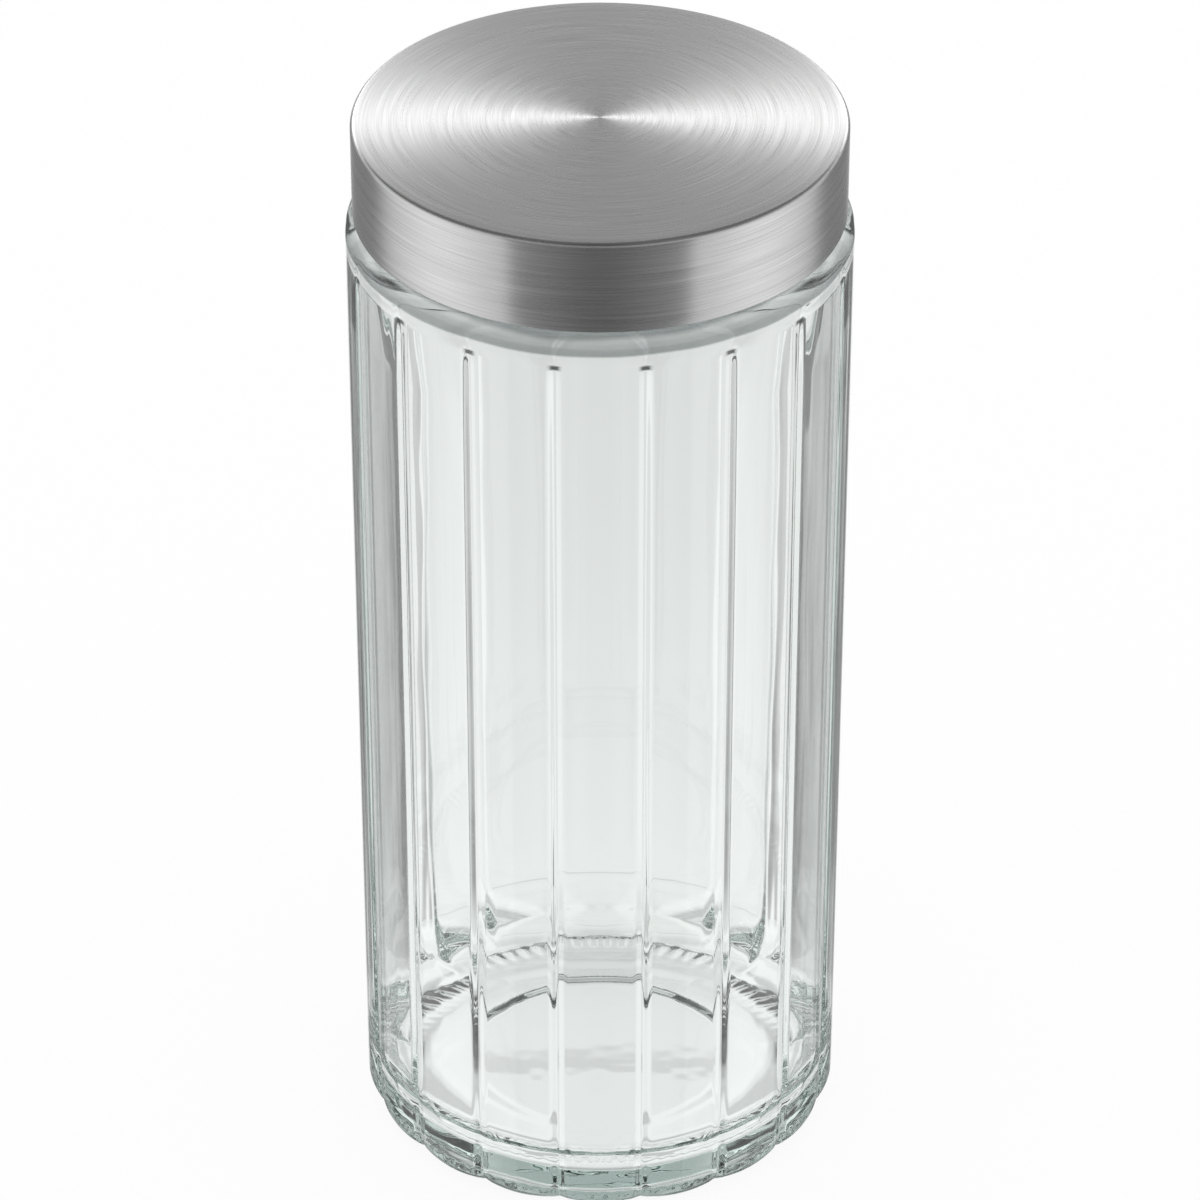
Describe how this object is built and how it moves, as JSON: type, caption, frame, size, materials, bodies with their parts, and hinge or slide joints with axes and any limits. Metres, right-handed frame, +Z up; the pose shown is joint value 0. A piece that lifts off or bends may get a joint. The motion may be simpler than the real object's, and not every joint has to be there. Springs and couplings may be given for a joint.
{
  "type": "lidded glass canister",
  "caption": "Tall fluted glass storage canister with a screw-on brushed steel cap, threaded plastic insert and sealing ring.",
  "frame": {"origin": "centre of the base, on the plane the jar stands on", "axes": "+Z up through the centre of the cap, -Y out through the middle of one lobe at the front, +X to the right seen from the front"},
  "size_m": [0.11, 0.11, 0.2564],
  "materials": {
    "clear_glass": "clear soda-lime glass with a faint green edge colour",
    "insert_plastic": "natural white moulded polypropylene",
    "seal_silicone": "translucent white silicone, satin",
    "brushed_cap": "stainless steel brushed in circles round its axis"
  },
  "bodies": {
    "jar": {"glass_jar": "clear_glass"},
    "seal": {"seal_ring": "seal_silicone"},
    "lid": {"lid_shell": "brushed_cap", "thread_insert": "insert_plastic"}
  },
  "joints": [
    {"name": "lid_lift", "type": "slide", "parent": "jar", "child": "seal", "axis": [0, 0, 1], "range_m": [0, 0.036]},
    {"name": "lid_turn", "type": "hinge", "parent": "seal", "child": "lid", "pos_m": [0, 0, 0.2527], "axis": [0, 0, 1], "range_deg": [0, 540]}
  ],
  "couplings": [
    {"joint": "lid_lift", "follows": "lid_turn", "m_per_rad": 0.0038197}
  ]
}
